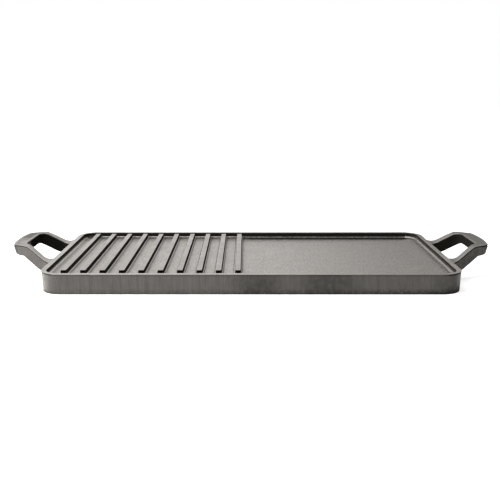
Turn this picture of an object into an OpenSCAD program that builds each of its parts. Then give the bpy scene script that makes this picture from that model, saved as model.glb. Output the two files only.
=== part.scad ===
// Two-burner cast iron griddle: a long shallow pan with a raised rim, grill
// ribs over one half of its floor, a smooth other half and a loop handle at
// each end. Millimetres, +Z up, origin under the middle of the pan.
// The long side of the pan lies along X and the ribs run along Y.

/* [Pan] */
// Length of the pan over its rim, without the handles
pan_l = 470; // [400:1:560]
// Width of the pan over its rim
pan_w = 250; // [220:1:300]
// Height of the rim above the table
pan_h = 23; // [20:0.5:34]
// Radius of the rim's outer corners, seen from above
corner_r = 25.5; // [20:0.5:32]
// Width of the flat top of the rim
rim_w = 6; // [5:0.25:9]
// Radius of the rim's inner corners, seen from above
inner_corner_r = 17; // [12:0.5:24]
// Depth of the cooking surface below the rim
tray_depth = 6.5; // [6:0.25:9]
// Radius of the cove where the cooking surface meets the wall
cove_r = 4; // [2:0.25:6]
// Thickness of the cooking plate
plate_t = 5; // [3:0.25:7]
// Lean of the outer wall from upright, in degrees
wall_draft = 1.9; // [0.5:0.1:4]
// Height of the lip round the top of the wall
lip_h = 1.2; // [0.6:0.1:2]
// How far the lip stands out over the wall
lip_out = 0.4; // [0.2:0.1:1]

/* [Grill ribs] */
// Distance from the middle of one rib to the next
rib_pitch = 21.7; // [18:0.1:26]
// Distance from the middle of the pan to the middle of the nearest rib
rib_middle_gap = 15.3; // [10:0.1:40]
// Smallest distance from the pan's wall to the side of the last rib
rib_wall_gap = 12; // [8:0.5:30]
// Width of the flat top of a rib
rib_top_w = 6.2; // [4:0.1:9]
// Drop from the top of the rim to the top of a rib
rib_drop = 0.7; // [0.2:0.1:1.5]
// Lean of a rib's sides from upright, in degrees
rib_draft = 3; // [1:0.5:6]
// Radius of the fillet along the foot of a rib
rib_foot_r = 2; // [1:0.25:2.5]
// Distance from the front wall to the ends of the ribs
rib_front_gap = 17.5; // [7:0.5:40]
// Distance from the back wall to the ends of the ribs
rib_back_gap = 4; // [4:0.5:40]

/* [Handles] */
// Reach of a handle's corners beyond the rim
handle_reach = 48.6; // [44:0.1:60]
// Extra reach of the middle of the grip, which bows outwards
grip_bow = 3.4; // [1:0.1:6]
// Rise of the grip above the rim
handle_rise = 15.5; // [12:0.1:20]
// Thickness of the grip
grip_t = 12.6; // [9:0.1:14]
// Thickness of the handle's sloping arms
arm_t = 14; // [10:0.1:14.4]
// Level run of the handle beyond the rim before it bends upwards
level_run = 0.8; // [0:0.1:3]
// Slope of the handle between the rim and the grip, in degrees
handle_slope = 34.7; // [32:0.1:40]
// Radius of the lower bend on the top side of the handle
lower_bend_r = 17; // [10:0.5:19]
// Radius of the upper bend on the top side of the handle
upper_bend_r = 16; // [15:0.5:18]
// Width of the grip, from the finger gap to the corner of the handle
grip_w = 13.4; // [11:0.1:18]
// Half of the grip's length, between the corners of the handle
grip_half_l = 36.6; // [32:0.1:44]
// Reach of the knee in the outer side of each arm
knee_reach = 29.7; // [26:0.1:34]
// Distance of that knee from the handle's centre line
knee_half_w = 48.5; // [46:0.1:56]
// Distance of the outer side of each arm from the centre line at the rim
root_half_w = 64.3; // [60:0.1:72]
// Width of each arm, measured along the rim's direction
arm_w = 13.2; // [10:0.1:15]
// Radius of the blend between the arm's outer side and the pan
root_r = 20; // [10:0.5:24]
// Radius of the knee
knee_r = 20; // [8:0.5:24]
// Radius of the handle's corners, seen from above
tip_r = 3; // [2:0.5:6]
// Radius of the finger gap's corners beside the grip
gap_grip_r = 11.5; // [6:0.5:14]
// Radius of the finger gap's corners beside the pan
gap_root_r = 9; // [5:0.5:10]

/* [Hidden] */
// Segments of a full circle
$fn = 96;
// Straight pieces in each rounded corner of an outline
corner_steps = 10;
// Straight pieces in half of the bowed edge of the grip
bow_steps = 8;
// Extra length of a shape that is cut off where it meets its neighbour
cut_over = 1;
iron = "#5d5a57";
iron_handle = "#56534f";

floor_z = pan_h - tray_depth;
plate_z = floor_z - plate_t;
inner_l = pan_l - 2 * rim_w;
inner_w = pan_w - 2 * rim_w;
wall_top_z = pan_h - lip_h;
wall_in = wall_top_z * tan(wall_draft);

rib_top_z = pan_h - rib_drop;
rib_h = rib_top_z - floor_z;
rib_foot_w = rib_top_w + 2 * rib_h * tan(rib_draft);
rib_y0 = -inner_w / 2 + rib_front_gap;
rib_l = inner_w - rib_front_gap - rib_back_gap;
rib_room = inner_l / 2 - rib_middle_gap - rib_wall_gap - rib_top_w / 2;
rib_n = floor(rib_room / rib_pitch) + 1;

gap_reach = handle_reach - grip_w;
// Outlines of the handle run on into the wall as far as this before they are cut
root_x = -lip_out - wall_in - cut_over;
arm_slope = (root_half_w - knee_half_w) / knee_reach;

// Points of a round corner of radius r at b, between the lines to a and to c
function unit(v) = v / norm(v);
function round_corner(a, b, c, r) =
    let (
        u = unit(a - b),
        v = unit(c - b),
        half = acos(u * v) / 2,
        centre = b + unit(u + v) * r / sin(half),
        from = b + u * r / tan(half) - centre,
        to = b + v * r / tan(half) - centre,
        start = atan2(from[1], from[0]),
        raw = atan2(to[1], to[0]) - start,
        turn = raw > 180 ? raw - 360 : raw < -180 ? raw + 360 : raw
    )
    [for (i = [0:corner_steps])
        let (angle = start + turn * i / corner_steps)
        centre + r * [cos(angle), sin(angle)]];

// Half an outline from the centre line outwards, made whole by its mirror image
function both_sides(half) = concat(
    [for (i = [len(half) - 1:-1:0])
        if (half[i][1] > 0)
            [half[i][0], -half[i][1]]],
    half);

// Rectangle with round corners, centred on the origin
module round_rect(l, w, r) {
    square([l - 2 * r, w], center = true);
    square([l, w - 2 * r], center = true);
    for (sx = [-1, 1], sy = [-1, 1])
        translate([sx * (l / 2 - r), sy * (w / 2 - r)])
            circle(r);
}

// Block with round corners whose four sides lean in by inset at the bottom
module drafted_block(l, w, r, h, inset) {
    rotate([90, 0, 0])
        linear_extrude(w - 2 * r, center = true)
            polygon([[-l / 2 + inset, 0], [l / 2 - inset, 0], [l / 2, h], [-l / 2, h]]);
    rotate([90, 0, 90])
        linear_extrude(l - 2 * r, center = true)
            polygon([[-w / 2 + inset, 0], [w / 2 - inset, 0], [w / 2, h], [-w / 2, h]]);
    for (sx = [-1, 1], sy = [-1, 1])
        translate([sx * (l / 2 - r), sy * (w / 2 - r), 0])
            cylinder(h = h, r1 = r - inset, r2 = r);
}

// Outside of the pan without its handles, its wall running on up inside the lip
module pan_outside() {
    run_up = lip_h / 2;
    lean = tan(wall_draft);
    in = lip_out - run_up * lean;
    drafted_block(
        pan_l - 2 * in, pan_w - 2 * in, corner_r - in, wall_top_z + run_up, wall_in + run_up * lean);
    translate([0, 0, wall_top_z])
        linear_extrude(lip_h)
            round_rect(pan_l, pan_w, corner_r);
}

// Hollow cross-section of the cove, standing in the corner of wall and floor
module cove_section() {
    difference() {
        square(cove_r);
        translate([cove_r, cove_r])
            circle(cove_r);
    }
}

// Cove round the whole edge of the cooking surface
module cove() {
    straight_l = inner_l - 2 * inner_corner_r;
    straight_w = inner_w - 2 * inner_corner_r;
    for (s = [0, 180]) {
        rotate([0, 0, s])
            translate([-straight_l / 2, -inner_w / 2, floor_z])
                rotate([90, 0, 90])
                    linear_extrude(straight_l)
                        cove_section();
        rotate([0, 0, s])
            translate([-inner_l / 2, straight_w / 2, floor_z])
                rotate([90, 0, 0])
                    linear_extrude(straight_w)
                        cove_section();
    }
    for (sx = [0, 1], sy = [0, 1])
        mirror([sx, 0, 0])
            mirror([0, sy, 0])
                translate([straight_l / 2, straight_w / 2, floor_z])
                    rotate_extrude(angle = 90)
                        translate([inner_corner_r, 0])
                            mirror([1, 0])
                                cove_section();
}

// Wall and rim round the pan, open below and above
module rim_wall() {
    color(iron)
        difference() {
            pan_outside();
            translate([0, 0, -cut_over])
                linear_extrude(pan_h + 2 * cut_over)
                    round_rect(inner_l, inner_w, inner_corner_r);
        }
}

// Level plate that the food cooks on, with the cove round its edge
module cooking_plate() {
    color(iron) {
        translate([0, 0, plate_z])
            linear_extrude(plate_t)
                round_rect(inner_l, inner_w, inner_corner_r);
        cove();
    }
}

// Cross-section of a rib with its sides leaning in and a fillet along each foot
module rib_section() {
    polygon([
        [-rib_foot_w / 2, 0], [rib_foot_w / 2, 0],
        [rib_top_w / 2, rib_h], [-rib_top_w / 2, rib_h]]);
    for (s = [0, 1])
        mirror([s, 0])
            translate([rib_foot_w / 2 - rib_foot_r * tan(rib_draft), 0])
                difference() {
                    square(rib_foot_r);
                    translate([rib_foot_r, rib_foot_r])
                        circle(rib_foot_r);
                }
}

// Rib number i, counted from the end of the pan towards its middle
module grill_rib(i) {
    color(iron)
        translate([-rib_middle_gap - (rib_n - i) * rib_pitch, rib_y0 + rib_l, floor_z])
            rotate([90, 0, 0])
                linear_extrude(rib_l)
                    rib_section();
}

// Outer edge of the handle seen from above, x outwards from the rim
module handle_outline() {
    bow_r = (pow(grip_half_l, 2) + pow(grip_bow, 2)) / (2 * grip_bow);
    bow_a = asin(grip_half_l / bow_r);
    bow_centre_x = handle_reach + grip_bow - bow_r;
    bow = [for (i = [0:bow_steps - 1])
        let (angle = bow_a * i / bow_steps)
        [bow_centre_x + bow_r * cos(angle), bow_r * sin(angle)]];
    tip = [handle_reach, grip_half_l];
    knee = [knee_reach, knee_half_w];
    root = [root_x, root_half_w - root_x * arm_slope];
    along_wall = [root_x, root_half_w + root_r];
    half = concat(
        bow,
        round_corner(bow[bow_steps - 1], tip, knee, tip_r),
        round_corner(tip, knee, root, knee_r),
        round_corner(knee, root, along_wall, root_r));
    polygon(both_sides(half));
}

// Finger gap seen from above, between the grip, both arms and the pan
module finger_gap() {
    arm_y = root_half_w - arm_w;
    grip_corner = [gap_reach, arm_y - gap_reach * arm_slope];
    root_corner = [root_x, arm_y - root_x * arm_slope];
    half = concat(
        round_corner([gap_reach, 0], grip_corner, root_corner, gap_grip_r),
        round_corner(grip_corner, root_corner, [root_x, 0], gap_root_r));
    polygon(both_sides(half));
}

// Side view of the handle from the rim's outer edge at the origin: level at the
// rim, up the slope and level at the grip, with the root shaped to the wall
module handle_side() {
    bend_x = level_run + lower_bend_r * tan(handle_slope / 2);
    crest_x = bend_x + handle_rise / tan(handle_slope);
    end_x = handle_reach + grip_bow + cut_over;
    top_end = [end_x, handle_rise];
    top = concat(
        round_corner([0, 0], [bend_x, 0], [crest_x, handle_rise], lower_bend_r),
        round_corner([bend_x, 0], [crest_x, handle_rise], top_end, upper_bend_r));
    under_bend_x = bend_x + arm_t * tan(handle_slope / 2);
    under_z = handle_rise - grip_t;
    under_bend = [under_bend_x, -arm_t];
    under_crest = [under_bend_x + (under_z + arm_t) / tan(handle_slope), under_z];
    under_end = [end_x, under_z];
    wall_foot = [-lip_out - wall_in * (arm_t - lip_h) / wall_top_z, -arm_t];
    bottom = concat(
        round_corner(under_end, under_crest, under_bend, upper_bend_r - grip_t),
        round_corner(under_crest, under_bend, wall_foot, lower_bend_r + arm_t));
    polygon(concat(
        top, [top_end, under_end], bottom, [wall_foot, [-lip_out, -lip_h], [0, -lip_h]]));
}

// Loop handle at the +X end, its root shaped to the pan's wall
module handle() {
    intersection() {
        translate([pan_l / 2, 0, 0])
            linear_extrude(pan_h + handle_rise + cut_over)
                difference() {
                    handle_outline();
                    finger_gap();
                }
        translate([pan_l / 2, 0, pan_h])
            rotate([90, 0, 0])
                linear_extrude(pan_w, center = true)
                    handle_side();
    }
}

module left_handle() {
    color(iron_handle)
        mirror([1, 0, 0])
            handle();
}

module right_handle() {
    color(iron_handle)
        handle();
}

rim_wall();
cooking_plate();
left_handle();
right_handle();
grill_rib(1);  // grill_rib_01
grill_rib(2);  // grill_rib_02
grill_rib(3);  // grill_rib_03
grill_rib(4);  // grill_rib_04
grill_rib(5);  // grill_rib_05
grill_rib(6);  // grill_rib_06
grill_rib(7);  // grill_rib_07
grill_rib(8);  // grill_rib_08
grill_rib(9);  // grill_rib_09
grill_rib(10);  // grill_rib_10
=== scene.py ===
import bpy, bmesh
from math import acos, atan2, cos, pi, radians, sin, sqrt, tan
from mathutils import Matrix, Vector


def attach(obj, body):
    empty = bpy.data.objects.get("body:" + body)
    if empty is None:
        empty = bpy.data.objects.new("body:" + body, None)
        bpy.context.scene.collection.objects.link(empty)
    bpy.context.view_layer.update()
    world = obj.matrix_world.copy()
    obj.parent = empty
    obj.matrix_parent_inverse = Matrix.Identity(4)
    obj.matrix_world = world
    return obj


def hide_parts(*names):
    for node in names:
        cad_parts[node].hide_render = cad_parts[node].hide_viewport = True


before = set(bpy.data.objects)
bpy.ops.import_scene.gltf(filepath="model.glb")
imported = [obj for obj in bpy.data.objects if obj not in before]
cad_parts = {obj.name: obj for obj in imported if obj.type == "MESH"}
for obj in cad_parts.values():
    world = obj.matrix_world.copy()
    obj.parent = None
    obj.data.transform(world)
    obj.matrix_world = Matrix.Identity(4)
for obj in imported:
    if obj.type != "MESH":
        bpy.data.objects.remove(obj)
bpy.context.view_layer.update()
scene = bpy.context.scene
mm = 0.001
print("frame loaded:", len(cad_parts), "nodes")


# camera of the photograph, solved from the rim and the ribs: lengths in millimetres, turns in
# degrees, focal length and image width in pixels
view = {
    "pixels": 500,
    "focalPixels": 780,
    "sensor": 36.0,
    "place": (-6.34, -950.26, 225.74),
    "turn": -0.303,
    "dip": 12.003,
    "roll": 0.082,
}


def setCamera():
    data = bpy.data.cameras.new("camera")
    data.sensor_width = view["sensor"]
    data.lens = view["focalPixels"] * view["sensor"] / view["pixels"]
    camera = bpy.data.objects.new("camera", data)
    scene.collection.objects.link(camera)
    aim = (Matrix.Rotation(radians(view["turn"]), 4, "Z")
           @ Matrix.Rotation(radians(90 - view["dip"]), 4, "X")
           @ Matrix.Rotation(radians(view["roll"]), 4, "Z"))
    camera.matrix_world = Matrix.Translation(Vector(view["place"]) * mm) @ aim
    scene.camera = camera


setCamera()
print("camera set")


# shader helpers

def addNode(tree, kind, **values):
    node = tree.nodes.new(kind)
    for name, value in values.items():
        setattr(node, name, value)
    return node


def feed(tree, socket, source):
    # a socket takes either a link or a fixed value
    if isinstance(source, bpy.types.NodeSocket):
        tree.links.new(source, socket)
    else:
        socket.default_value = source


def calc(tree, operation, a, b, clamp=False):
    node = addNode(tree, "ShaderNodeMath", operation=operation, use_clamp=clamp)
    feed(tree, node.inputs[0], a)
    feed(tree, node.inputs[1], b)
    return node.outputs[0]


def vectorCalc(tree, operation, *sources):
    node = addNode(tree, "ShaderNodeVectorMath", operation=operation)
    for socket, source in zip(node.inputs, sources):
        feed(tree, socket, source)
    return node.outputs


def fade(tree, value, limits=(0.0, 1.0), low=0.0, high=1.0):
    # smooth step from low to high while the value crosses its limits
    node = addNode(tree, "ShaderNodeMapRange", interpolation_type="SMOOTHSTEP")
    for socket, source in zip(node.inputs, (value, *limits, low, high)):
        feed(tree, socket, source)
    return node.outputs[0]


def weigh(tree, first, second, share):
    # mean of two values, of which the first has the given share
    return calc(tree, "ADD", calc(tree, "MULTIPLY", first, share),
                calc(tree, "MULTIPLY", second, 1 - share))


def noise(tree, spot, scale, detail, rough):
    node = addNode(tree, "ShaderNodeTexNoise")
    values = {"Vector": spot, "Scale": scale, "Detail": detail, "Roughness": rough}
    for label, source in values.items():
        feed(tree, node.inputs[label], source)
    return node.outputs["Fac"]


def perMetre(tree, sizeMm, share=1.0):
    # how often a pattern of a size in millimetres fits in a metre, or a share of that
    return calc(tree, "DIVIDE", share / mm, sizeMm)


def objectPlace(tree):
    return tree.nodes.new("ShaderNodeTexCoord").outputs["Object"]


def axesOf(tree, vector):
    xyz = tree.nodes.new("ShaderNodeSeparateXYZ")
    feed(tree, xyz.inputs[0], vector)
    return xyz.outputs


def blendColour(tree, factor, first, second):
    node = addNode(tree, "ShaderNodeMix", data_type="RGBA")
    for label, source in {"Factor": factor, "A": first, "B": second}.items():
        feed(tree, node.inputs[label], source)
    return node.outputs["Result"]


def warmGrey(level, warmth=0.065):
    # the slightly warm grey of seasoned iron
    return (level * (1 + warmth), level, level * (1 - warmth), 1.0)


def newGroup(name, inputs, outputs):
    # a shared effect: its tree, the values that it is given and the ones that it puts out
    tree = bpy.data.node_groups.new(name, "ShaderNodeTree")
    for label, value in inputs.items():
        socket = tree.interface.new_socket(label, in_out="INPUT", socket_type="NodeSocketFloat")
        socket.default_value = value
    for label in outputs:
        tree.interface.new_socket(label, in_out="OUTPUT", socket_type="NodeSocketFloat")
    given = tree.nodes.new("NodeGroupInput").outputs
    out = tree.nodes.new("NodeGroupOutput").inputs
    return tree, given, out


def useGroup(tree, group, **values):
    node = addNode(tree, "ShaderNodeGroup", node_tree=group)
    for label, value in values.items():
        feed(tree, node.inputs[label], value)
    return node.outputs


def newMaterial(name):
    # a plain shader without a gloss of its own, and its inputs
    material = bpy.data.materials.new(name)
    material.use_nodes = True
    inputs = material.node_tree.nodes["Principled BSDF"].inputs
    inputs["Specular IOR Level"].default_value = 0.0
    return material, material.node_tree, inputs


# sand-cast skin: pebbles on wider swells, broad mottling and a fine speckle; each noise has its
# detail and roughness, and each mask the limits between which it is cut from its noise
grainLook = {
    "pebbleMm": 1.2, "mottleMm": 18.0,
    "pebble": (3.0, 0.62), "swell": (2.0, 0.5), "speck": (1.0, 0.5), "cloud": (4.0, 0.6),
    "swellShare": 0.35, "speckShare": 0.43, "pebbleShare": 0.9,
    "speckLimits": (0.35, 0.65), "cloudLimits": (0.3, 0.7),
}


def makeCastGrain():
    sizes = {"PebbleMm": grainLook["pebbleMm"], "MottleMm": grainLook["mottleMm"]}
    tree, given, out = newGroup("castGrain", sizes, ["Height", "Mottle", "Speck"])
    spot = objectPlace(tree)
    pebbleMm = given["PebbleMm"]
    pebble = noise(tree, spot, perMetre(tree, pebbleMm), *grainLook["pebble"])
    swell = noise(tree, spot, perMetre(tree, pebbleMm, grainLook["swellShare"]),
                  *grainLook["swell"])
    speck = noise(tree, spot, perMetre(tree, pebbleMm, grainLook["speckShare"]),
                  *grainLook["speck"])
    cloud = noise(tree, spot, perMetre(tree, given["MottleMm"]), *grainLook["cloud"])
    feed(tree, out["Height"], weigh(tree, pebble, swell, grainLook["pebbleShare"]))
    feed(tree, out["Speck"], fade(tree, speck, grainLook["speckLimits"]))
    feed(tree, out["Mottle"], fade(tree, cloud, grainLook["cloudLimits"]))
    return tree


# worn edges with painted highlights, and painted shade in recesses: the marks that each mesh
# carries, broken up into patches
wearAndLightLook = {
    "patchMm": 3.5, "patch": (4.0, 0.6),
    "wearAndHighlightLimits": (0.3, 0.65), "leastRub": 0.45, "shadeLimits": (0.35, 0.6),
}


def makeWearAndPaintedLight():
    tree, given, out = newGroup("wearAndPaintedLight", {"PatchMm": wearAndLightLook["patchMm"]}, ["Rub", "PaintedShade"])
    patch = noise(tree, objectPlace(tree), perMetre(tree, given["PatchMm"]), *wearAndLightLook["patch"])
    wearAndHighlight, paintedShade = (addNode(tree, "ShaderNodeAttribute", attribute_name=mark).outputs["Fac"]
                   for mark in ("wearAndHighlight", "paintedShade"))
    # light marks are edge wear and painted highlights, dark marks are painted shade
    patchedWearAndHighlight = fade(tree, patch, wearAndLightLook["wearAndHighlightLimits"], wearAndLightLook["leastRub"])
    dark = fade(tree, patch, wearAndLightLook["shadeLimits"], paintedShade)
    feed(tree, out["Rub"], calc(tree, "MULTIPLY", wearAndHighlight, patchedWearAndHighlight))
    feed(tree, out["PaintedShade"], calc(tree, "MULTIPLY", paintedShade, dark))
    return tree


# upright grinding marks on the outside of the wall, fine ones over broad ones, with how much
# they change the colour and how high they stand beside the grain
streakLook = {
    "widthMm": 1.3, "lengthMm": 30.0, "fine": (3.0, 0.55), "broad": (2.0, 0.5),
    "broadScale": 0.22, "fineShare": 0.6, "limits": (0.32, 0.68),
    "contrast": 0.14, "relief": 0.3,
}


def makeGroundStreaks():
    sizes = {"WidthMm": streakLook["widthMm"], "LengthMm": streakLook["lengthMm"]}
    tree, given, out = newGroup("groundStreaks", sizes, ["Streak"])
    across, along = (perMetre(tree, given[label]) for label in sizes)
    size = tree.nodes.new("ShaderNodeCombineXYZ")
    for axis, source in zip(size.inputs, (across, across, along)):
        feed(tree, axis, source)
    drawn = tree.nodes.new("ShaderNodeMapping")
    feed(tree, drawn.inputs["Vector"], objectPlace(tree))
    feed(tree, drawn.inputs["Scale"], size.outputs[0])
    spot = drawn.outputs["Vector"]
    fine = noise(tree, spot, 1.0, *streakLook["fine"])
    broad = noise(tree, spot, streakLook["broadScale"], *streakLook["broad"])
    mixed = weigh(tree, fine, broad, streakLook["fineShare"])
    feed(tree, out["Streak"], fade(tree, mixed, streakLook["limits"]))
    return tree


# painted shade on the outside of the wall, in millimetres: place, reach and depth of each dark
# patch, the share of the reach that is evenly dark, and faint painted shade over the whole right
# half, where the light falls off
wallShadeLook = {
    "shadePatches": [((8, -125, 12), 34, 0.45), ((84, -125, 8), 42, 0.45), ((228, -112, 4), 40, 0.4)],
    "core": 0.3, "rightHalfShade": (-55, 5), "rightShadeDepth": 0.2, "level": 0.025,
    "breakMm": 7.0, "break": (3.0, 0.55), "breakLimits": (0.3, 0.65), "breakShares": (0.7, 1.1),
}


def makeWallStains():
    tree, given, out = newGroup("wallStains", {"BreakMm": wallShadeLook["breakMm"]}, ["Stain"])
    spot = objectPlace(tree)
    total = fade(tree, axesOf(tree, spot)["X"], [x * mm for x in wallShadeLook["rightHalfShade"]],
                 high=wallShadeLook["rightShadeDepth"])
    for centre, reach, depth in wallShadeLook["shadePatches"]:
        away = vectorCalc(tree, "DISTANCE", spot, [value * mm for value in centre])["Value"]
        limits = (reach * mm * wallShadeLook["core"], reach * mm)
        total = calc(tree, "ADD", total, fade(tree, away, limits, depth, 0.0))
    broken = noise(tree, spot, perMetre(tree, given["BreakMm"]), *wallShadeLook["break"])
    shares = fade(tree, broken, wallShadeLook["breakLimits"], *wallShadeLook["breakShares"])
    feed(tree, out["Stain"], calc(tree, "MULTIPLY", total, shares, clamp=True))
    return tree


castGrain = makeCastGrain()
wearAndPaintedLight = makeWearAndPaintedLight()
groundStreaks = makeGroundStreaks()
wallStains = makeWallStains()


# one finish for each slot; the levels are linear grey, the pebble and the depth millimetres; the
# top and side greys paint light and shade by which way a face turns, then come the grey of painted
# shade and the grey of wear and painted highlights
finishes = {
    "pan_iron": {"top": 0.34, "side": 0.085, "paintedShade": 0.014, "wearAndHighlightGrey": 0.52, "rough": 0.42,
                 "pebble": 1.2, "depth": 0.05, "mottle": 0.12, "speck": 0.1, "streaks": True},
    "deck_iron": {"top": 0.38, "side": 0.3, "paintedShade": 0.012, "wearAndHighlightGrey": 0.7, "rough": 0.46,
                  "pebble": 1.0, "depth": 0.07, "mottle": 0.05, "speck": 0.4, "streaks": False},
    "rib_iron": {"top": 0.295, "side": 0.7, "paintedShade": 0.004, "wearAndHighlightGrey": 0.7, "rough": 0.42,
                 "pebble": 1.2, "depth": 0.05, "mottle": 0.12, "speck": 0.1, "streaks": False},
    "handle_iron": {"top": 0.252, "side": 0.08, "paintedShade": 0.01, "wearAndHighlightGrey": 0.42, "rough": 0.46,
                    "pebble": 1.5, "depth": 0.09, "mottle": 0.12, "speck": 0.1, "streaks": False},
}

# what all four share: how far up a face looks that counts as top for the painted light and shade
# by facing, and how much the marks change colour, roughness and metal
ironLook = {
    "topLimits": (0.5, 0.85), "speckLevel": 0.06, "shadeWarmth": 0.14, "wearAndHighlightShare": 0.4,
    "roughSwing": 0.03, "shadeRough": 0.22, "metal": 0.85,
}


def makeIron(slot):
    look = finishes[slot]
    material, tree, inputs = newMaterial(slot)
    normal = tree.nodes.new("ShaderNodeNewGeometry").outputs["True Normal"]
    paintedLightByFacing = fade(tree, axesOf(tree, normal)["Z"], ironLook["topLimits"])
    grain = useGroup(tree, castGrain, PebbleMm=look["pebble"], MottleMm=grainLook["mottleMm"])
    marks = useGroup(tree, wearAndPaintedLight, PatchMm=wearAndLightLook["patchMm"])

    side, height = warmGrey(look["side"]), grain["Height"]
    if look["streaks"]:
        streak = useGroup(tree, groundStreaks, WidthMm=streakLook["widthMm"],
                          LengthMm=streakLook["lengthMm"])["Streak"]
        wallShading = useGroup(tree, wallStains, BreakMm=wallShadeLook["breakMm"])["Stain"]
        darker, lighter = 1 - streakLook["contrast"], 1 + streakLook["contrast"]
        side = blendColour(tree, streak, warmGrey(look["side"] * darker),
                           warmGrey(look["side"] * lighter))
        # blotchy painted shade over the wall, deeper toward the right
        side = blendColour(tree, wallShading, side, warmGrey(wallShadeLook["level"]))
        height = calc(tree, "ADD", height, calc(tree, "MULTIPLY", streak, streakLook["relief"]))

    # painted light and shade: faces turned up take the top grey, the others the side grey
    colour = blendColour(tree, paintedLightByFacing, side, warmGrey(look["top"]))
    # each layer lays its own grey over the colour so far
    layers = [
        (grain["Mottle"], look["mottle"], warmGrey(ironLook["speckLevel"])),
        (grain["Speck"], look["speck"], warmGrey(ironLook["speckLevel"])),
        # painted shade, then edge wear with painted highlights
        (marks["PaintedShade"], 1.0, warmGrey(look["paintedShade"], ironLook["shadeWarmth"])),
        (marks["Rub"], ironLook["wearAndHighlightShare"], warmGrey(look["wearAndHighlightGrey"])),
    ]
    for mask, share, grey in layers:
        colour = blendColour(tree, calc(tree, "MULTIPLY", mask, share), colour, grey)
    feed(tree, inputs["Base Color"], colour)

    swing = ironLook["roughSwing"]
    rough = fade(tree, grain["Mottle"], low=look["rough"] - swing, high=look["rough"] + swing)
    dull = calc(tree, "MULTIPLY", marks["PaintedShade"], ironLook["shadeRough"])
    feed(tree, inputs["Roughness"], calc(tree, "ADD", rough, dull))
    feed(tree, inputs["Metallic"], fade(tree, marks["PaintedShade"], low=ironLook["metal"], high=0.0))
    bump = tree.nodes.new("ShaderNodeBump")
    for label, source in {"Strength": 1.0, "Distance": look["depth"] * mm,
                          "Height": height}.items():
        feed(tree, bump.inputs[label], source)
    feed(tree, inputs["Normal"], bump.outputs["Normal"])
    return material


irons = {slot: makeIron(slot) for slot in finishes}
print("materials made:", len(irons))


# shape helpers, in millimetres

stopGap = 1         # least distance of a stop on a long side from the round corners
weldGap = 0.0001    # places nearer to each other than this are one
evenShare = 60      # over 50, the larger of two faces leads the shading at their edge


def bounded(value):
    return max(0.0, min(1.0, value))


def arcRound(before, corner, after, radius, steps):
    # points of a round corner between the lines to its two neighbours
    b = Vector(corner)
    u = (Vector(before) - b).normalized()
    v = (Vector(after) - b).normalized()
    half = acos(max(-1.0, min(1.0, u.dot(v)))) / 2
    centre = b + (u + v).normalized() * radius / sin(half)
    start = b + u * radius / tan(half) - centre
    end = b + v * radius / tan(half) - centre
    first = atan2(start.y, start.x)
    turn = (atan2(end.y, end.x) - first + pi) % (2 * pi) - pi
    angles = [first + turn * i / steps for i in range(steps + 1)]
    return [centre + radius * Vector((cos(angle), sin(angle))) for angle in angles]


def roundedPath(corners, closed=False):
    # corners are (x, y, radius, arcSteps, spanSteps); spanSteps divide the line before a corner
    points = []
    for i, (x, y, radius, arcSteps, spanSteps) in enumerate(corners):
        ends = not closed and i in (0, len(corners) - 1)
        if ends or radius == 0:
            arc = [Vector((x, y))]
        else:
            arc = arcRound(corners[i - 1][:2], (x, y), corners[(i + 1) % len(corners)][:2],
                           radius, arcSteps)
        if points:
            points += [points[-1].lerp(arc[0], k / spanSteps) for k in range(1, spanSteps)]
        points += arc
    return points


def heightAt(path, x):
    # height of a side view at a distance from the rim
    for a, b in zip(path, path[1:]):
        if a.x <= x <= b.x and b.x > a.x:
            return a.y + (b.y - a.y) * (x - a.x) / (b.x - a.x)
    return path[0].y if x < path[0].x else path[-1].y


def quarterRound(radius, steps):
    # a round corner as (across, depth), both from the two faces that it joins
    angles = [pi / 2 * i / steps for i in range(steps + 1)]
    return [(radius - radius * cos(angle), radius - radius * sin(angle)) for angle in angles]


def marksAt(table, x):
    # the marks of a table of rising values, blended between its lines
    for low, high in zip(table, table[1:]):
        if x <= high[0]:
            share = max(0.0, (x - low[0]) / (high[0] - low[0]))
            return [a + (b - a) * share for a, b in zip(low[1:], high[1:])]
    return list(table[-1][1:])


def newMesh():
    # the first mark is for worn edges and painted highlights, the second for painted shade in
    # hollows, under parts and at the foot of walls
    bm = bmesh.new()
    bm.verts.layers.float.new("wearAndHighlight")
    bm.verts.layers.float.new("paintedShade")
    return bm


def roundRing(sizeX, sizeY, radius, z, wearAndHighlight=0.0, paintedShade=0.0, atCorners=0.0, steps=12, stops=()):
    # places of one loop round a rectangle with round corners, each with its two marks; the
    # stops are more places along its two long sides
    ring = []
    for i in range(4 * (steps + 1)):
        quarter, step = divmod(i, steps + 1)
        angle = (quarter + step / steps) * pi / 2
        sideX = 1 if quarter in (0, 3) else -1
        sideY = 1 if quarter in (0, 1) else -1
        spot = Vector((sideX * (sizeX / 2 - radius) + radius * cos(angle),
                       sideY * (sizeY / 2 - radius) + radius * sin(angle), z))
        ring.append((spot, wearAndHighlight, paintedShade + atCorners * sin(pi * step / steps)))
        if step == steps and quarter in (0, 2):
            limit = sizeX / 2 - radius - stopGap
            ring += [(Vector((sideX * max(-limit, min(limit, x)), sideY * sizeY / 2, z)), wearAndHighlight,
                      paintedShade) for x in stops]
    return ring


def setRing(bm, ring, places):
    wearAndHighlightLayer = bm.verts.layers.float["wearAndHighlight"]
    shadeLayer = bm.verts.layers.float["paintedShade"]
    for vert, (spot, wearAndHighlight, paintedShade) in zip(ring, places):
        vert.co = spot * mm
        vert[wearAndHighlightLayer] = wearAndHighlight
        vert[shadeLayer] = paintedShade


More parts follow.
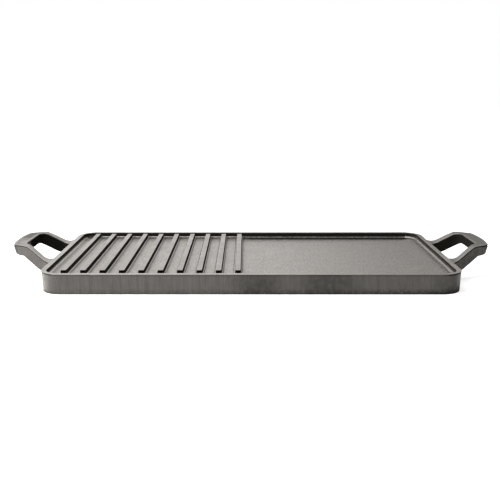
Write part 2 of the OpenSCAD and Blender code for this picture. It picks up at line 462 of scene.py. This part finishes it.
def loft(bm, rings, closed=False):
    # each ring is extruded from the one before and moved to its own places
    ring = bmesh.ops.create_circle(bm, segments=len(rings[0]), radius=mm)["verts"]
    setRing(bm, ring, rings[0])
    ends = []
    for places in rings[1:] + (rings[:1] if closed else []):
        edges = [bm.edges.get(pair) for pair in zip(ring, ring[1:] + ring[:1])]
        ends = ends or [edges]
        grown = set(bmesh.ops.extrude_edge_only(bm, edges=edges)["geom"])
        ring = [next(edge.other_vert(vert) for edge in vert.link_edges
                     if edge.other_vert(vert) in grown) for vert in ring]
        setRing(bm, ring, places)
    if closed:
        bmesh.ops.remove_doubles(bm, verts=bm.verts, dist=mm * weldGap)
        return
    ends.append([bm.edges.get(pair) for pair in zip(ring, ring[1:] + ring[:1])])
    for edges in ends:
        bmesh.ops.edgeloop_fill(bm, edges=edges)


def placeMesh(bm, name, material):
    mesh = bpy.data.meshes.new(name)
    bm.to_mesh(mesh)
    bm.free()
    mesh.materials.append(material)
    placed = bpy.data.objects.new(name, mesh)
    scene.collection.objects.link(placed)
    return placed


def finishPiece(bm, name, node, slot):
    bmesh.ops.recalc_face_normals(bm, faces=bm.faces)
    piece = placeMesh(bm, name, irons[slot])
    piece.data.shade_smooth()
    smooth = piece.modifiers.new("evenShading", "WEIGHTED_NORMAL")
    smooth.weight = evenShare
    smooth.keep_sharp = True
    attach(piece, "root")
    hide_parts(node)


# wall and rim
pan = {
    "length": 470, "width": 250, "height": 23,
    "cornerR": 25.5, "innerCornerR": 17, "rimW": 6, "draft": 1.9,
    "bottomEdgeR": 0.4, "insideBottomR": 1.0, "rimOutR": 0.25, "rimInR": 0.2,
    "lipH": 0.7, "lipOut": 0.4, "lipUnderR": 0.2,
    "grooveDeep": 0.25, "grooveH": 1.3, "grooveR": 0.15, "grooveRoof": 0.1, "grooveFootR": 0.3,
    # how far down and in the rim's worn edges reach, and the room left at a limit when it
    # is told whether a place lies beyond it
    "edgeH": 0.15, "edgeW": 0.5, "slack": 0.05,
    # painted shade at the foot of the outer wall, more of it at the right, and there higher up at
    # the corner
    "footShade": 0.22, "footShadeH": 7, "rightFootShade": 0.75, "footShadeClimb": 1.5,
    # painted shade on the inner wall's short sides, and painted shadow in the groove's right and
    # left corners
    "sideShare": 0.86, "sidePower": 0.7, "rightShadeShare": 1.4, "leftGroove": 0.6,
    # painted highlight on the front left corner, which ends just before the short side, and on the
    # rim's right side; the back has a share of all edge wear and painted highlight
    "leftCornerRub": 1.75, "leftRubPower": 3, "leftRubEnd": 0.03, "rightRimRub": 1.8,
    "backShare": 0.3,
}


def makeWall():
    rimZ, slack = pan["height"], pan["slack"]
    lipZ = rimZ - pan["lipH"]
    grooveZ = lipZ - pan["grooveH"]
    lean = lipZ * tan(radians(pan["draft"]))
    deep = pan["lipOut"] + pan["grooveDeep"]
    # inset from the rim's edge, height, radius, arc pieces, line pieces
    section = roundedPath([
        (pan["lipOut"] + lean, 0, pan["bottomEdgeR"], 5, 1),
        (pan["lipOut"], grooveZ - pan["grooveFootR"], pan["grooveFootR"], 2, 6),
        (deep, lipZ - pan["grooveH"] / 2, pan["grooveR"], 2, 1),
        (deep, lipZ - pan["grooveRoof"], pan["grooveR"], 2, 1),
        (0, lipZ, pan["lipUnderR"], 2, 1),
        (0, rimZ, pan["rimOutR"], 4, 1),
        (pan["rimW"], rimZ, pan["rimInR"], 4, 3),
        (pan["rimW"], 0, pan["insideBottomR"], 3, 4),
    ], closed=True)
    sideX = pan["length"] / 2 - pan["rimW"] - pan["edgeW"]
    bm = newMesh()
    rings = []
    for inset, z in section:
        inner = inset > pan["rimW"] / 2
        onTop = z > rimZ - pan["edgeH"]
        atEdge = onTop and (inset < pan["edgeW"] or inset > pan["rimW"] - pan["edgeW"])
        # painted shade on the inner wall below the rim, a painted shadow line in the groove and
        # under the lip that deepens at the corners, and painted shade toward the foot of the outer
        # wall
        within = inner and z < rimZ - 2 * slack
        groove = not inner and inset > 2 * slack and grooveZ - 4 * slack < z < lipZ + slack
        lip = not inner and inset < pan["edgeW"] and lipZ - slack < z < rimZ - 4 * slack
        radius = (pan["innerCornerR"] + pan["rimW"] if inner else pan["cornerR"]) - inset
        footShade = 0.0 if inner else pan["footShade"] * max(0.0, 1 - z / pan["footShadeH"])
        ring = roundRing(pan["length"] - 2 * inset, pan["width"] - 2 * inset, radius, z,
                         wearAndHighlight=1.0 if atEdge else 0.0,
                         paintedShade=1.0 if within else 0.0 if groove else footShade,
                         atCorners=1.0 if groove or lip else 0.0)
        places = []
        for spot, wearAndHighlight, paintedShade in ring:
            right, back = spot.x > 0, spot.y > 0
            # how far the place has turned from the long sides to the short ones
            turned = max(0.0, 1 + (abs(spot.x) - pan["length"] / 2 + inset) / radius)
            # the right side gets deeper painted shade, and more of it at the foot of the outer
            # wall
            if right:
                paintedShade = min(1.0, pan["rightShadeShare"] * paintedShade)
                high = pan["footShadeH"] * (1 + pan["footShadeClimb"] * turned)
                foot = 0.0 if inner or back else max(0.0, 1 - z / high)
                paintedShade += pan["rightFootShade"] * foot * (1 - paintedShade)
            elif groove or lip:
                paintedShade *= pan["leftGroove"] if groove else 0.0
            elif not inner and not back and pan["bottomEdgeR"] < z < lipZ:
                # painted highlight where the front left corner turns
                wearAndHighlight = (pan["leftCornerRub"] * turned ** pan["leftRubPower"]
                       * min(1.0, (1 - turned) / pan["leftRubEnd"]))
            # painted highlight along the rim's right side
            if right and onTop:
                wearAndHighlight = max(wearAndHighlight, pan["rightRimRub"] * turned)
            if back:
                wearAndHighlight *= pan["backShare"]
            # painted shade over the whole inner wall, a little lighter round the short sides
            if within and (abs(spot.x) > sideX or (right and back)):
                paintedShade = 1 - (1 - pan["sideShare"]) * turned ** pan["sidePower"]
            places.append((spot, wearAndHighlight, paintedShade))
        rings.append(places)
    loft(bm, rings, closed=True)
    finishPiece(bm, "pan_wall", "rim_wall", "pan_iron")


makeWall()
print("wall made")


# cooking plate with its coves
deck = {
    "depth": 6.5, "coveR": 4, "plate": 5, "underCoveR": 3, "underFlat": 4, "sink": 0.05,
    "leastBendR": 2, "deckUnderShade": 0.8,
    # height in the cove as a share of its radius, and how dark the painted shade is there at the
    # left side, the right side, the back's left half and its right half
    "coveMarks": [(0, 0.19, 0.68, 0.92, 0.85), (0.1, 0.14, 0.45, 0.75, 0.8),
                  (0.22, 0.0, 0.0, 0.0, 0.74), (0.32, 0.1, 0.2, 0.3, 0.8),
                  (0.4, 0.3, 0.5, 1.0, 1.0), (0.56, 0.9, 0.9, 1.0, 1.0),
                  (2, 0.9, 0.9, 1.0, 1.0)],
    # the same for the distance in from the cove's foot
    "footMarks": [(0, 0.19, 0.7, 0.92, 0.85), (1.5, 0.14, 0.68, 0.92, 1.0),
                  (3.5, 0.07, 0.48, 0.85, 1.0), (6, 0.05, 0.2, 0.7, 1.0),
                  (9, 0.02, 0.05, 0.45, 1.0), (14, 0.0, 0.0, 0.24, 0.72),
                  (22, 0.0, 0.0, 0.09, 0.3), (34, 0.0, 0.0, 0.0, 0.0)],
    # places along the long sides where the back's marks change, the room left beyond one, and
    # how late the left side's marks change round the corner
    "stops": (0, -25, -205), "pastStop": 1, "leftTurnPower": 2,
    # band of the cove, as shares of its radius, with a painted highlight at the left side and a
    # painted glint at the far right corner, and the part of that corner where the glint is
    "highlightBand": (0.05, 0.4), "highlightCorner": (0.02, 0.98),
    # how dark the painted shade in the far left corner is, how soon it gets there round the
    # corner, and how far up the cove and in from its foot it reaches
    "cornerShade": 0.93, "cornerTurn": 3, "cornerHigh": 0.5, "cornerStart": 1.5,
    "cornerReach": 5,
}
deckZ = pan["height"] - deck["depth"]


def makeDeck():
    underZ = deckZ - deck["plate"]
    sizeX = pan["length"] - 2 * pan["rimW"]
    sizeY = pan["width"] - 2 * pan["rimW"]
    r, under, out = deck["coveR"], deck["underCoveR"], -deck["sink"]
    # inset from the wall's inner face, height, radius, arc pieces, line pieces
    section = roundedPath([
        (under + deck["underFlat"], underZ, 0, 1, 1),
        (0, underZ, under, 8, 1),
        (0, underZ - under, 0, 1, 1),
        (out, underZ - under, 0, 1, 1),
        (out, deckZ + r, 0, 1, 1),
        (0, deckZ + r, 0, 1, 1),
        (0, deckZ, r, 10, 1),
    ] + [(r + line[0], deckZ, 0, 1, 1) for line in deck["footMarks"][1:]])
    middle, corner = (stop - deck["pastStop"] for stop in (deck["stops"][0], deck["stops"][-1]))
    highlightLow, highlightHigh = deck["highlightBand"]
    highlightFrom, highlightTo = deck["highlightCorner"]
    bm = newMesh()
    rings = []
    for inset, z in section:
        below = z < deckZ - deck["plate"] / 2
        rise = (z - deckZ) / r
        # painted shade under the plate, up the cove and on the deck near the wall's foot
        if below:
            dark = [deck["deckUnderShade"]] * 4
        elif inset > r:
            dark = marksAt(deck["footMarks"], inset - r)
        else:
            dark = marksAt(deck["coveMarks"], rise)
        bend = max(pan["innerCornerR"] - inset, deck["leastBendR"])
        near = bounded(deck["cornerStart"] - (inset - r) / deck["cornerReach"])
        ring = roundRing(sizeX - 2 * inset, sizeY - 2 * inset, bend, z, stops=deck["stops"])
        places = []
        for spot, wearAndHighlight, paintedShade in ring:
            # the marks change from the side's to the back's round the corner
            aside, behind = dark[::2] if spot.x < middle else dark[1::2]
            turned = max(0.0, (spot.y - sizeY / 2 + inset) / bend + 1)
            if spot.x <= 0:
                turned **= deck["leftTurnPower"]
            paintedShade = aside + (behind - aside) * turned
            cornering = min(1.0, deck["cornerTurn"] * turned)
            if highlightLow < rise < highlightHigh:
                # painted highlight on the cove at the left side, and a painted glint at the far
                # right corner
                if spot.x < 0:
                    wearAndHighlight = 1.0 - cornering
                elif highlightFrom < turned < highlightTo:
                    wearAndHighlight, paintedShade = 1.0, 0.0
            # painted shade in the far left corner
            if spot.x < corner and rise < deck["cornerHigh"] and not below:
                paintedShade = max(paintedShade, deck["cornerShade"] * near * cornering)
            places.append((spot, wearAndHighlight, paintedShade))
        rings.append(places)
    loft(bm, rings)
    finishPiece(bm, "cooking_deck", "cooking_plate", "deck_iron")


makeDeck()
print("deck made")


# grill ribs
rib = {
    "count": 10, "pitch": 21.7, "middleGap": 15.3, "frontGap": 17.5, "backGap": 4,
    "topW": 5.9, "drop": 0.7, "draft": 4.5, "sink": 0.4,
    "footR": 2, "filletShare": 0.95, "topEdgeR": 0.25, "topFlat": 1.2,
    "endR": 0.6, "leastEndR": 0.15, "cornerSteps": 4,
    # height above the deck, and how dark the painted shade is there
    "marks": [(-1, 0.0), (0, 0.62), (0.1, 0.3), (0.25, 0.0), (0.5, 0.0), (0.8, 0.5),
              (1.1, 1.0), (9, 1.0)],
    # share of that on the long sides, wear on the top edges, a painted highlight between two
    # heights at the foot of the right side, and the room left at a limit
    "sideShare": 0.967, "edgeRub": 0.4, "edgeH": 0.1, "footRub": 1.0, "footBand": (0.2, 0.6),
    "slack": 0.01,
}


def makeRib(number):
    high = deck["depth"] - rib["drop"]
    halfW = rib["topW"] / 2
    footW = halfW + high * tan(radians(rib["draft"]))
    wide = footW + rib["footR"]
    long = pan["width"] - 2 * pan["rimW"] - rib["frontGap"] - rib["backGap"]
    # half width, height above the deck, radius, arc pieces, line pieces
    section = roundedPath([
        (wide, -rib["sink"], 0, 1, 1),
        (wide, 0, 0, 1, 1),
        (footW, 0, rib["footR"] * rib["filletShare"], 8, 1),
        (halfW, high, rib["topEdgeR"], 3, 2),
        (halfW - rib["topFlat"], high, 0, 1, 1),
    ])
    footLow, footHigh = rib["footBand"]
    bm = newMesh()
    rings = []
    for half, z in section:
        onTop = z > high - rib["edgeH"]
        atEdge = onTop and half > halfW - rib["topFlat"] / 2
        footRub = rib["footRub"] if footLow < z < footHigh else 0.0
        # painted shade by height above the deck, none on the top
        ring = roundRing(2 * half, long + 2 * (half - halfW),
                         max(rib["endR"] + half - halfW, rib["leastEndR"]), deckZ + z,
                         wearAndHighlight=rib["edgeRub"] if atEdge else 0.0,
                         paintedShade=0.0 if onTop else marksAt(rib["marks"], z)[0],
                         steps=rib["cornerSteps"])
        places = []
        for spot, wearAndHighlight, paintedShade in ring:
            # painted highlight on the foot fillet of the right side
            if spot.x > half - rib["slack"]:
                wearAndHighlight = max(wearAndHighlight, footRub)
            if abs(spot.x) > half - rib["slack"]:
                paintedShade *= rib["sideShare"]
            places.append((spot, wearAndHighlight, paintedShade))
        rings.append(places)
    loft(bm, rings)
    x = -rib["middleGap"] - (rib["count"] - number) * rib["pitch"]
    y = (rib["frontGap"] - rib["backGap"]) / 2
    bmesh.ops.translate(bm, verts=bm.verts, vec=Vector((x, y, 0)) * mm)
    finishPiece(bm, "rib_%02d" % number, "grill_rib_%02d" % number, "rib_iron")


for number in range(1, rib["count"] + 1):
    makeRib(number)
print("ribs made:", rib["count"])


# loop handles, measured outwards from the rim and up or down from its top
handle = {
    "reach": 48.6, "bow": 3.4, "rise": 15.5, "gripT": 12.6, "armT": 14, "level": 0.8,
    "slope": 34.7, "lowerBendR": 17, "upperBendR": 16, "underBendR": 26,
    "gripW": 13.4, "gripHalf": 36.6, "kneeReach": 29.7, "kneeHalf": 48.5, "rootHalf": 64.3,
    "armW": 13.2, "rootR": 20, "kneeR": 20, "tipR": 3, "gapGripR": 11.5, "gapRootR": 9,
    "rootX": -2.1, "dipInRim": 0.05, "rootFilletR": 2.5,
    "topOutR": 0.5, "topInR": 1.2, "underInR": 2.0, "underOutR": 1.4, "gripUnderR": 3.0,
    "gripLean": 1.8, "grooveDeep": 0.4, "grooveH": 1.5, "grooveGap": 0.1, "grooveSlope": 0.3,
    # the wall's face under an arm, from foot to top, how many pieces the grip's bow has, and
    # how far the drawn lines run past its end and past the root
    "wallX": (-0.7, -0.69), "bowPieces": 10, "pastEnd": 1, "pastRoot": 20,
    # pieces of the section's four round edges, in the order of their radii above, and of its
    # top and its underside
    "edgePieces": (3, 4, 4, 5), "topPieces": 5, "underPieces": 4,
    # where the arms turn into the grip, how dark the grip's top is there, and the shares of
    # that in the far and in the near half
    "gripFrom": 42, "gripBlend": 6, "gripMark": 0.38, "farGrip": 1.7, "nearGrip": 0.8,
    # wear on the edges, on from rubFrom outwards, and painted shade inside the gap and underneath
    "outerEdgeRub": 1.0, "innerEdgeRub": 0.5, "grooveEdgeRub": 0.5, "rubFrom": 0.5,
    "innerEdgePower": 3, "innerShade": 1.0, "underShade": 0.6, "underEdgeShade": 0.3,
}

# how the two handles differ: the grip's marks, painted highlight on the far arm, the near arm and
# the outer face of the arms, how dark the painted shade on that face is along the arms and along
# the grip, how dark the groove's painted shadow is, and where the gap's inside has less painted
# shade: one corner at the left, the grip's side at the right
handleSides = {
    "left": {"direction": -1, "gripShare": 1.0, "farArmRub": 0.5, "nearArmRub": 1.0,
             "faceRub": 0.3, "armShade": 0.0, "faceShade": 0.32, "grooveShade": 0.55,
             "soft": 0.9, "softX": 22, "softY": -8, "softReach": 9},
    "right": {"direction": 1, "gripShare": 0.1, "farArmRub": 0.0, "nearArmRub": 0.0,
              "faceRub": 0.0, "armShade": 0.34, "faceShade": 0.34, "grooveShade": 1.0,
              "soft": 0.1, "softX": 24, "softReach": 11},
}


def handleHeights():
    # top and underside seen from the front, from the rim to the grip
    slope = radians(handle["slope"])
    half = tan(slope / 2)
    bendX = handle["level"] + handle["lowerBendR"] * half
    crestX = bendX + handle["rise"] / tan(slope)
    endX = handle["reach"] + handle["bow"] + handle["pastEnd"]
    top = roundedPath([
        (handle["rootX"], handle["dipInRim"] * handle["rootX"], 0, 1, 1),
        (0, 0, 0, 1, 1),
        (bendX, 0, handle["lowerBendR"], 10, 1),
        (crestX, handle["rise"], handle["upperBendR"], 10, 1),
        (endX, handle["rise"], 0, 1, 1),
    ])
    underX = bendX + handle["armT"] * half
    underZ = handle["rise"] - handle["gripT"]
    footR = handle["rootFilletR"]
    wallFoot, wallTop = handle["wallX"]
    bottom = roundedPath([
        (handle["rootX"], -handle["armT"] - footR, 0, 1, 1),
        (wallFoot, -handle["armT"] - footR, 0, 1, 1),
        (wallTop, -handle["armT"], footR, 5, 1),
        (underX, -handle["armT"], handle["underBendR"], 10, 1),
        (underX + (underZ + handle["armT"]) / tan(slope), underZ,
         handle["upperBendR"] - handle["gripT"], 8, 1),
        (endX, underZ, 0, 1, 1),
    ])
    return top, bottom


def handleOutlines():
    # half of the outer and the inner edge seen from above, from the grip's middle to the rim
    reach, bow, half = handle["reach"], handle["bow"], handle["gripHalf"]
    pieces, rootX = handle["bowPieces"], handle["rootX"]
    bowR = (half ** 2 + bow ** 2) / (2 * bow)
    lean = half / sqrt(bowR ** 2 - half ** 2)
    slope = (handle["rootHalf"] - handle["kneeHalf"]) / handle["kneeReach"]
    outer = roundedPath([
        (reach + half * lean, 0, 0, 1, 1),
        (reach, half, handle["tipR"], 10, pieces),
        (handle["kneeReach"], handle["kneeHalf"], handle["kneeR"], 6, 3),
        (rootX, handle["rootHalf"] - rootX * slope, handle["rootR"], 10, 3),
        (rootX, handle["rootHalf"] + handle["rootR"] + handle["pastRoot"], 0, 1, 1),
    ])[:-1]
    for i, point in enumerate(outer[:pieces]):
        outer[i] = Vector((reach + bow - bowR + sqrt(bowR ** 2 - point.y ** 2), point.y))
    armY = handle["rootHalf"] - handle["armW"]
    gapX = reach - handle["gripW"]
    inner = roundedPath([
        (gapX, 0, 0, 1, 1),
        (gapX, armY - gapX * slope, handle["gapGripR"], 10, pieces),
        (rootX, armY - rootX * slope, handle["gapRootR"], 10, 12),
        (rootX, 0, 0, 1, 1),
    ])[:-1]
    return outer, inner


def handleSection(width, grip, topRub, gripMark, faceRub, faceShade, grooveShade):
    # section as (across from the outer edge, depth below the top, height above the underside,
    # wear and painted highlight, painted shade)
    topOut, topIn, underIn = handle["topOutR"], handle["topInR"], handle["underInR"]
    underOut = handle["underOutR"] + (handle["gripUnderR"] - handle["underOutR"]) * grip
    lean = handle["gripLean"] * grip
    topPieces, underPieces = handle["topPieces"], handle["underPieces"]
    radii = (topOut, topIn, underIn, underOut)
    edges = [quarterRound(radius, count) for radius, count in zip(radii, handle["edgePieces"])]
    ring = [(a, d, None, handle["outerEdgeRub"], 0.0) for a, d in edges[0]]
    ring += [(topOut + (width - topOut - topIn) * k / topPieces, 0, None, topRub, gripMark)
             for k in range(1, topPieces)]
    ring += [(width - a, d, None, handle["innerEdgeRub"] * (1 - d / topIn),
              (d / topIn) ** handle["innerEdgePower"]) for a, d in reversed(edges[1])]
    ring += [(width - a, None, d, 0.0, handle["innerShade"]) for a, d in edges[2]]
    ring += [(width - underIn - (width - underIn - underOut - lean) * k / underPieces, None, 0,
              0.0, handle["underShade"]) for k in range(1, underPieces)]
    ring += [(lean + a, None, d, faceRub,
              faceShade + handle["underEdgeShade"] * (1 - d / underOut))
             for a, d in reversed(edges[3])]
    # parting groove under the outer top edge, darkened inside with a painted shadow
    deep, slope = handle["grooveDeep"], handle["grooveSlope"]
    start = topOut + handle["grooveGap"]
    end = start + handle["grooveH"]
    ring += [(0, end + slope, None, faceRub, faceShade), (deep, end, None, 0.0, grooveShade),
             (deep, start + slope, None, 0.0, grooveShade),
             (0, start, None, handle["grooveEdgeRub"], 0.0)]
    return ring


def softInside(look, spot):
    # how much of the painted shade in the gap is taken off at a place on its inside
    if "softY" not in look:
        return look["soft"] * bounded((spot.x - look["softX"]) / look["softReach"])
    if spot.x <= look["softX"]:
        return 0.0
    return look["soft"] * bounded((look["softY"] - spot.y) / look["softReach"])


def makeHandle(side):
    look = handleSides[side]
    top, bottom = handleHeights()
    half = list(zip(*handleOutlines()))
    # the half outline mirrored to the near side, then as it is on the far side
    stations = [[Vector((spot.x, -spot.y)) for spot in pair] for pair in reversed(half[1:])] + half
    rings = []
    for out, within in stations:
        width = (within - out).length
        far = out.y > 0
        grip = bounded((out.x - handle["gripFrom"]) / handle["gripBlend"])
        gripMark = handle["gripMark"] * grip * handle["farGrip" if far else "nearGrip"]
        section = handleSection(
            width, grip,
            topRub=(1 - grip) * look["farArmRub" if far else "nearArmRub"],
            gripMark=gripMark * look["gripShare"],
            faceRub=(1 - grip) * look["faceRub"],
            faceShade=look["armShade"] + (look["faceShade"] - look["armShade"]) * grip,
            grooveShade=look["grooveShade"])
        places = []
        for across, down, up, wearAndHighlight, paintedShade in section:
            plan = out.lerp(within, across / width)
            z = heightAt(top, plan.x) - down if up is None else heightAt(bottom, plan.x) + up
            # the gap's inside has less painted shade in places
            if across > width / 2:
                paintedShade *= 1 - softInside(look, within)
            places.append((Vector((pan["length"] / 2 + plan.x, plan.y, pan["height"] + z)),
                           wearAndHighlight if plan.x > handle["rubFrom"] else 0.0, paintedShade))
        rings.append(places)
    bm = newMesh()
    loft(bm, rings)
    bmesh.ops.scale(bm, verts=bm.verts, vec=(look["direction"], 1, 1))
    finishPiece(bm, "loop_handle_" + side, side + "_handle", "handle_iron")


for side in handleSides:
    makeHandle(side)
print("handles made:", len(handleSides))


# floor, world and lamps, in metres
studio = {
    "floorSize": 6.0, "floorWhite": 0.8,
    # glow of the floor: near the pan for rays that see white, the distances over which that
    # grows to full white, and for all other rays
    "floorLift": 0.7, "liftLimits": (0.3, 0.9), "floorGlow": 0.2,
    # soft light: from left to right, from low to over the rear, from front to rear, and overhead,
    # each with the limits of the direction between which it changes
    "leftSky": 2.12, "rightSky": 0.0, "acrossLimits": (-0.07, 0.395),
    "overRearSky": 0.5, "overLimits": (0.26, 0.4),
    "frontSky": 0.03, "rearLimits": (0.0, 0.5),
    "topSky": 0.4, "topLimits": (0.6, 0.9),
    # width, height and distance of the sheet of light behind the pan
    "boxSize": (6.0, 2.4, 1.5),
    # name, place, aim, width, depth and power of each lamp
    "lamps": [
        ("overhead", (-0.06, 0.0, 0.6), (-0.06, 0, 0), 0.55, 0.5, 1.5),
        ("left", (-0.75, -0.45, 0.78), (-0.35, -0.1, 0), 0.5, 0.5, 15.0),
    ],
}


def seesWhite(tree):
    # 1 for the rays that see the white surroundings: the camera's, mirrored and clear ones
    path = tree.nodes.new("ShaderNodeLightPath").outputs
    mirrored = calc(tree, "ADD", path["Is Glossy Ray"], path["Is Transmission Ray"])
    return calc(tree, "ADD", path["Is Camera Ray"], mirrored, clamp=True)


def softLight(tree, toward):
    # light from the rear, lighter to the left and low down, and a little from overhead
    x, y, z = axesOf(tree, toward)
    light = fade(tree, x, studio["acrossLimits"], studio["leftSky"], studio["rightSky"])
    light = fade(tree, z, studio["overLimits"], light, studio["overRearSky"])
    rear = fade(tree, y, studio["rearLimits"], studio["frontSky"])
    overhead = fade(tree, z, studio["topLimits"], high=studio["topSky"])
    return calc(tree, "ADD", calc(tree, "MULTIPLY", light, rear), overhead)


def makeFloor():
    material, tree, inputs = newMaterial("paleFloor")
    pale = studio["floorWhite"]
    inputs["Base Color"].default_value = (pale, pale, pale, 1)
    inputs["Roughness"].default_value = 1.0
    inputs["Emission Color"].default_value = (1, 1, 1, 1)
    away = vectorCalc(tree, "LENGTH", objectPlace(tree))["Value"]
    lift = fade(tree, away, studio["liftLimits"], studio["floorLift"])
    feed(tree, inputs["Emission Strength"],
         fade(tree, seesWhite(tree), low=studio["floorGlow"], high=lift))
    bm = bmesh.new()
    bmesh.ops.create_grid(bm, x_segments=1, y_segments=1, size=studio["floorSize"])
    floor = placeMesh(bm, "floor", material)


def makeSoftBox():
    # upright sheet of graded light behind the pan, which the iron mirrors in place of the white
    material, tree, inputs = newMaterial("softBoxLight")
    inputs["Base Color"].default_value = (0, 0, 0, 1)
    inputs["Emission Color"].default_value = (1, 1, 1, 1)
    toward = vectorCalc(tree, "NORMALIZE", objectPlace(tree))["Vector"]
    feed(tree, inputs["Emission Strength"], softLight(tree, toward))
    wide, high, far = studio["boxSize"]
    bm = bmesh.new()
    bmesh.ops.create_grid(bm, x_segments=1, y_segments=1, size=0.5)
    bmesh.ops.scale(bm, verts=bm.verts, vec=(wide, high, 1))
    bmesh.ops.rotate(bm, verts=bm.verts, matrix=Matrix.Rotation(radians(90), 3, "X"))
    bmesh.ops.translate(bm, verts=bm.verts, vec=(0, far, high / 2))
    box = placeMesh(bm, "softBox", material)
    box.visible_camera = False


def makeWorld():
    # white all round to the rays that see white; the others see the soft light
    world = bpy.data.worlds.new("studio")
    scene.world = world
    world.use_nodes = True
    tree = world.node_tree
    background = tree.nodes["Background"].inputs
    background["Color"].default_value = (1, 1, 1, 1)
    light = softLight(tree, tree.nodes.new("ShaderNodeTexCoord").outputs["Generated"])
    feed(tree, background["Strength"], fade(tree, seesWhite(tree), low=light))


def makeLamps():
    for name, spot, aim, width, depth, power in studio["lamps"]:
        data = bpy.data.lights.new(name, "AREA")
        data.shape = "RECTANGLE"
        data.size, data.size_y, data.energy = width, depth, power
        lamp = bpy.data.objects.new(name, data)
        away = Vector(spot) - Vector(aim)
        turn = away.to_track_quat("Z", "Y").to_matrix().to_4x4()
        lamp.matrix_world = Matrix.Translation(spot) @ turn
        scene.collection.objects.link(lamp)


makeFloor()
makeSoftBox()
makeWorld()
makeLamps()
scene.view_settings.view_transform = "Standard"
print("studio set")
